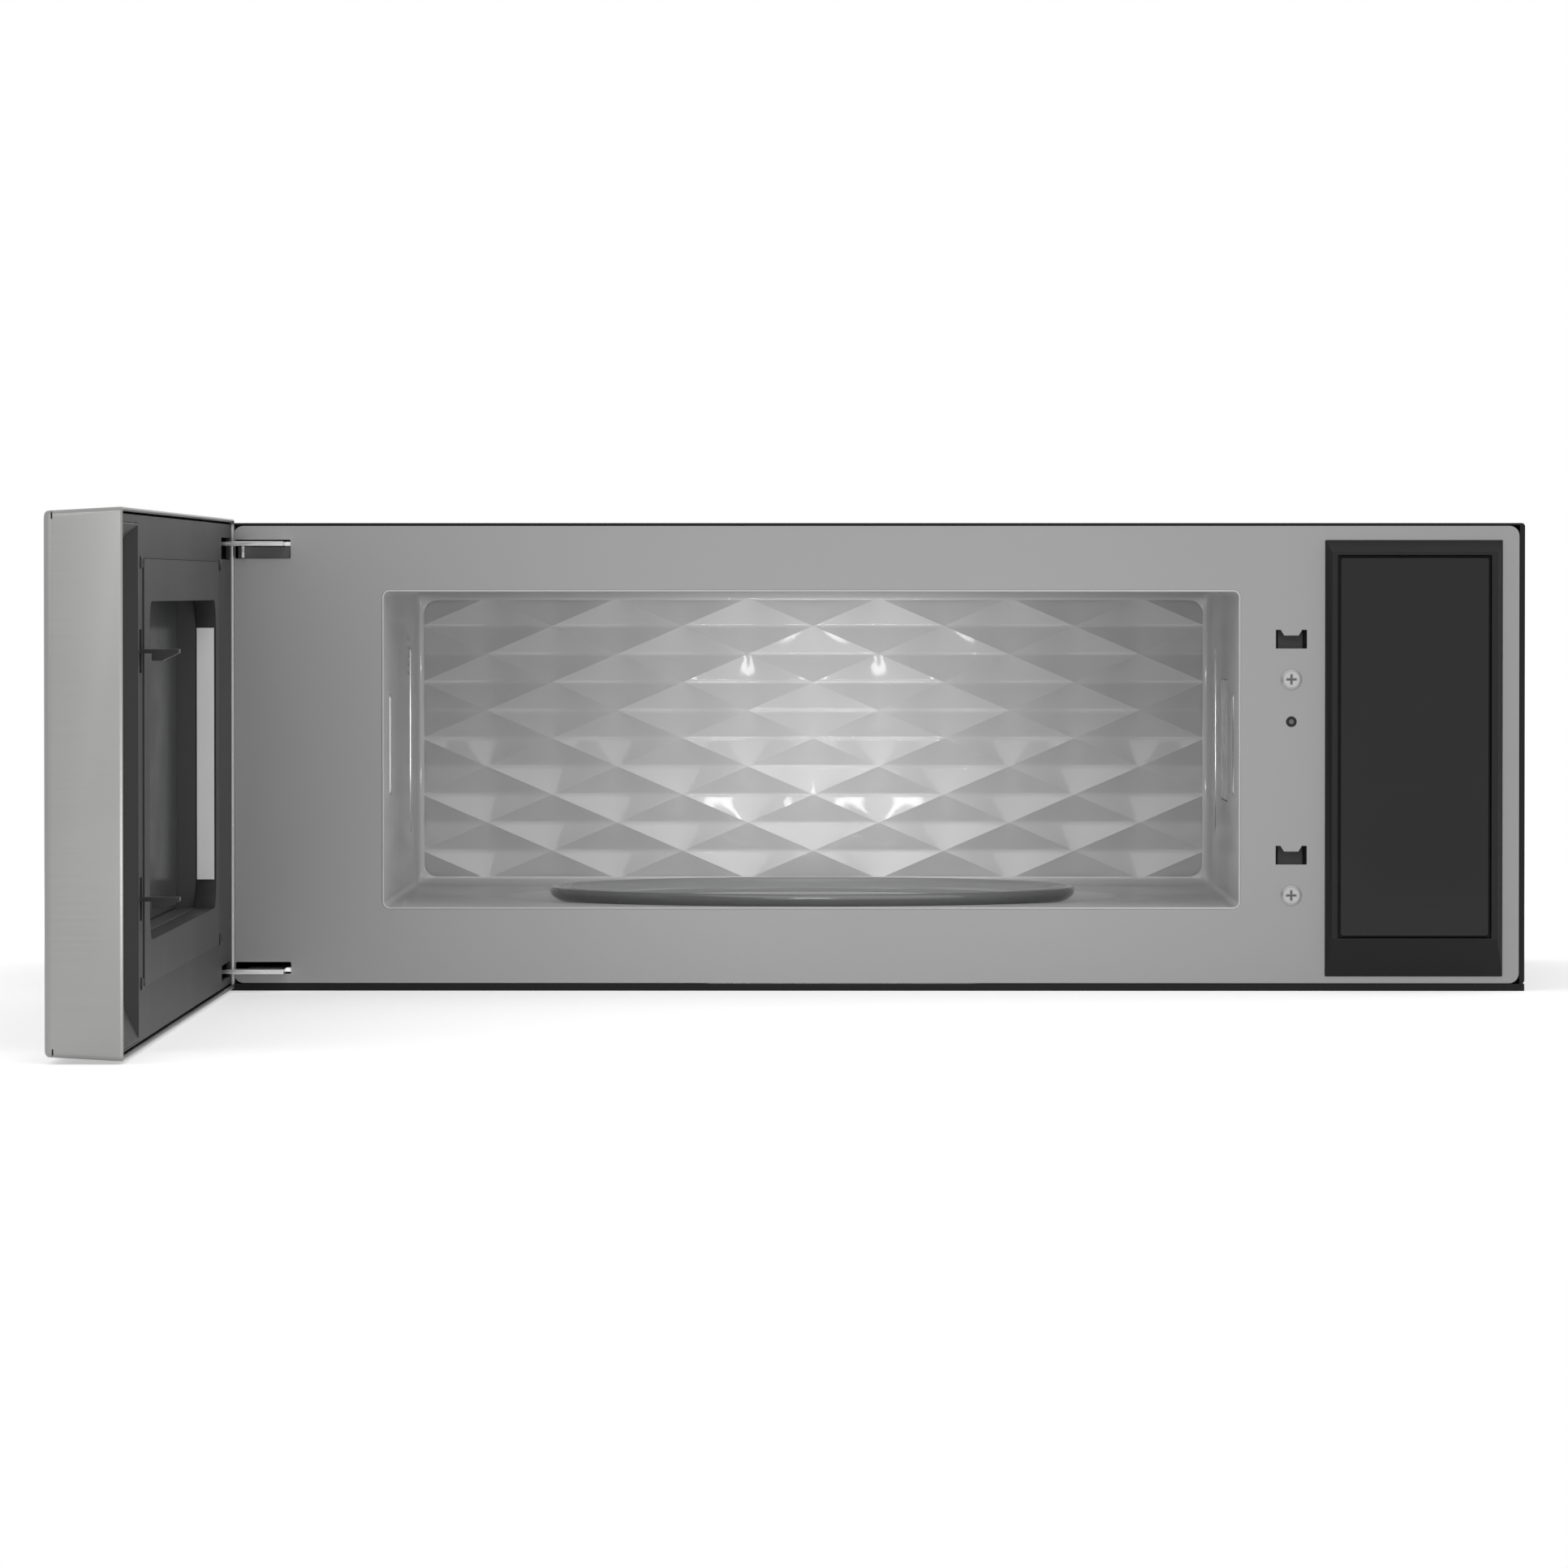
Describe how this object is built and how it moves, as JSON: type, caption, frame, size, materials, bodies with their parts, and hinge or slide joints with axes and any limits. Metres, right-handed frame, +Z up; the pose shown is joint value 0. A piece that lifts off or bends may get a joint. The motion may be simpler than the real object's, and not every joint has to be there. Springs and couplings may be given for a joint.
{
  "type": "over-the-range microwave",
  "caption": "Low-profile over-the-range microwave with a turntable oven, a full-width side-hinged door, a touch control pod, underside grease filters and a rear blower.",
  "frame": {"origin": "centre of the cabinet's underside, door left out", "axes": "+X right, +Y from the door's side to the wall, +Z up"},
  "size_m": [0.76, 1.1865, 0.2625],
  "materials": {
    "case_dark": "satin dark grey paint",
    "case_black": "satin black paint",
    "zinc": "galvanised sheet",
    "face_grey": "smooth grey powder coat",
    "bright_steel": "bright plated steel",
    "white_plastic": "moulded plastic",
    "black_plastic": "moulded plastic",
    "screw_grey": "grey painted heads",
    "light_grey_plastic": "moulded plastic",
    "pod_black": "fine matt black plastic",
    "control_glass": "smoked touch glass, unlit",
    "board_green": "printed circuit board",
    "cavity_enamel": "glossy light grey enamel",
    "quilt_enamel": "glossy light grey enamel",
    "core_steel": "varnished laminations and copper coils",
    "can_aluminium": "drawn can",
    "charcoal": "charcoal granules in a frame",
    "tray_glass": "pressed clear glass",
    "lamp_white": "lamp and holder",
    "filter_mesh": "layered aluminium mesh",
    "lens_frosted": "frosted lens",
    "rubber_black": "rubber",
    "stainless": "stainless steel brushed lengthwise",
    "door_inner_grey": "dark grey satin",
    "choke_grey": "dark grey moulded plastic",
    "pan_dark": "dark enamel",
    "screen_black": "perforated black screen",
    "window_glass": "dark tinted glass",
    "window_film": "clear inner pane",
    "latch_grey": "moulded plastic",
    "screw_dark": "black oxide"
  },
  "bodies": {
    "cabinet": {"base_pan": "case_dark", "wrap_cover": "case_black", "rear_panel": "zinc", "front_frame": "face_grey", "control_plate": "face_grey", "latch_strip": "face_grey", "catch_plates": "face_grey", "hinge_pocket": "case_black", "hinge_arm_upper": "bright_steel", "hinge_arm_lower": "bright_steel", "latch_board": "white_plastic", "interlock_switches": "black_plastic", "face_screws": "screw_grey", "control_bezel": "pod_black", "control_glass": "control_glass", "control_board": "board_green", "cavity_shell": "cavity_enamel", "cavity_rear_quilt": "quilt_enamel", "waveguide": "zinc", "magnetron": "zinc", "hv_transformer": "core_steel", "hv_capacitor": "can_aluminium", "filter_board": "board_green", "component_shelf": "zinc", "cooling_fan_housing": "black_plastic", "blower_housing": "zinc", "blower_motor": "core_steel", "exhaust_adapter": "zinc", "charcoal_filter": "charcoal", "turntable_motor": "zinc", "cavity_lamp": "lamp_white", "cooktop_lens": "lens_frosted", "cooktop_lamps": "lamp_white", "cord_grommet": "rubber_black", "case_screws": "bright_steel"},
    "door": {"door_shell": "stainless", "door_frame": "door_inner_grey", "control_tunnel": "black_plastic", "choke_cover": "choke_grey", "door_pan": "pan_dark", "window_screen": "screen_black", "window_outer": "window_glass", "window_inner": "window_film", "hinge_bracket_upper": "zinc", "hinge_bracket_lower": "zinc", "hinge_pins": "bright_steel", "latch_spring": "bright_steel", "door_screws": "screw_dark"},
    "latch": {"latch_bar": "latch_grey"},
    "plunger": {"door_sense_plunger": "light_grey_plastic"},
    "lever_upper": {"interlock_lever_upper": "light_grey_plastic"},
    "lever_lower": {"interlock_lever_lower": "light_grey_plastic"},
    "cooling_wheel": {"cooling_fan_wheel": "white_plastic"},
    "blower_rotor": {"blower_wheel": "can_aluminium"},
    "flap": {"damper_flap": "zinc"},
    "coupler": {"turntable_coupler": "white_plastic"},
    "ring": {"roller_ring": "white_plastic"},
    "roller_a": {"roller_1": "white_plastic"},
    "roller_b": {"roller_2": "white_plastic"},
    "roller_c": {"roller_3": "white_plastic"},
    "tray": {"glass_tray": "tray_glass"},
    "filter_left": {"grease_filter_left": "filter_mesh"},
    "filter_right": {"grease_filter_right": "filter_mesh"}
  },
  "joints": [
    {"name": "door_swing", "type": "hinge", "parent": "cabinet", "child": "door", "pos_m": [-0.3586, -0.2354, 0.13], "axis": [0, 0, 1], "range_deg": [0, 90]},
    {"name": "latch_lift", "type": "slide", "parent": "door", "child": "latch", "axis": [0, 0, 1], "range_m": [0, 0.0025], "stiffness_N_per_m": 600, "springref_m": -0.003, "deforming": ["latch_spring"]},
    {"name": "plunger_press", "type": "slide", "parent": "cabinet", "child": "plunger", "axis": [0, 1, 0], "range_m": [0, 0.001], "stiffness_N_per_m": 200},
    {"name": "lever_upper_rock", "type": "hinge", "parent": "cabinet", "child": "lever_upper", "pos_m": [0.2502, -0.1962, 0.1846], "axis": [-1, 0, 0], "range_deg": [0, 10], "stiffness_Nm_per_rad": 0.05},
    {"name": "lever_lower_rock", "type": "hinge", "parent": "cabinet", "child": "lever_lower", "pos_m": [0.2502, -0.1962, 0.0644], "axis": [-1, 0, 0], "range_deg": [0, 10], "stiffness_Nm_per_rad": 0.05},
    {"name": "cooling_fan_spin", "type": "hinge", "parent": "cabinet", "child": "cooling_wheel", "pos_m": [0.3004, 0.19, 0.1462], "axis": [0, 1, 0], "continuous": true},
    {"name": "blower_spin", "type": "hinge", "parent": "cabinet", "child": "blower_rotor", "pos_m": [0, 0.19, 0.114], "axis": [0, 1, 0], "continuous": true},
    {"name": "damper_open", "type": "hinge", "parent": "cabinet", "child": "flap", "pos_m": [0, 0.106, 0.2498], "axis": [1, 0, 0], "range_deg": [0, 70]},
    {"name": "turntable_spin", "type": "hinge", "parent": "cabinet", "child": "coupler", "pos_m": [-0.01695, -0.0295, 0.034], "axis": [0, 0, 1], "continuous": true},
    {"name": "tray_lift", "type": "slide", "parent": "coupler", "child": "tray", "axis": [0, 0, 1], "range_m": [0, 0.06]},
    {"name": "ring_spin", "type": "hinge", "parent": "cabinet", "child": "ring", "pos_m": [-0.01695, -0.0295, 0.034], "axis": [0, 0, 1], "continuous": true},
    {"name": "roller_a_spin", "type": "hinge", "parent": "ring", "child": "roller_a", "pos_m": [-0.01695, 0.0825, 0.0343], "axis": [0, 1, 0], "continuous": true},
    {"name": "roller_b_spin", "type": "hinge", "parent": "ring", "child": "roller_b", "pos_m": [-0.11395, -0.0855, 0.0343], "axis": [-0.866, -0.5, 0], "continuous": true},
    {"name": "roller_c_spin", "type": "hinge", "parent": "ring", "child": "roller_c", "pos_m": [0.08005, -0.0855, 0.0343], "axis": [0.866, -0.5, 0], "continuous": true},
    {"name": "filter_left_slide", "type": "slide", "parent": "cabinet", "child": "filter_left", "axis": [0, 1, 0], "range_m": [0, 0.012]},
    {"name": "filter_right_slide", "type": "slide", "parent": "cabinet", "child": "filter_right", "axis": [0, 1, 0], "range_m": [0, 0.012]}
  ],
  "couplings": [
    {"joint": "ring_spin", "follows": "turntable_spin", "ratio": 0.5},
    {"joint": "roller_a_spin", "follows": "turntable_spin", "ratio": -9.3333},
    {"joint": "roller_b_spin", "follows": "turntable_spin", "ratio": -9.3333},
    {"joint": "roller_c_spin", "follows": "turntable_spin", "ratio": -9.3333}
  ]
}
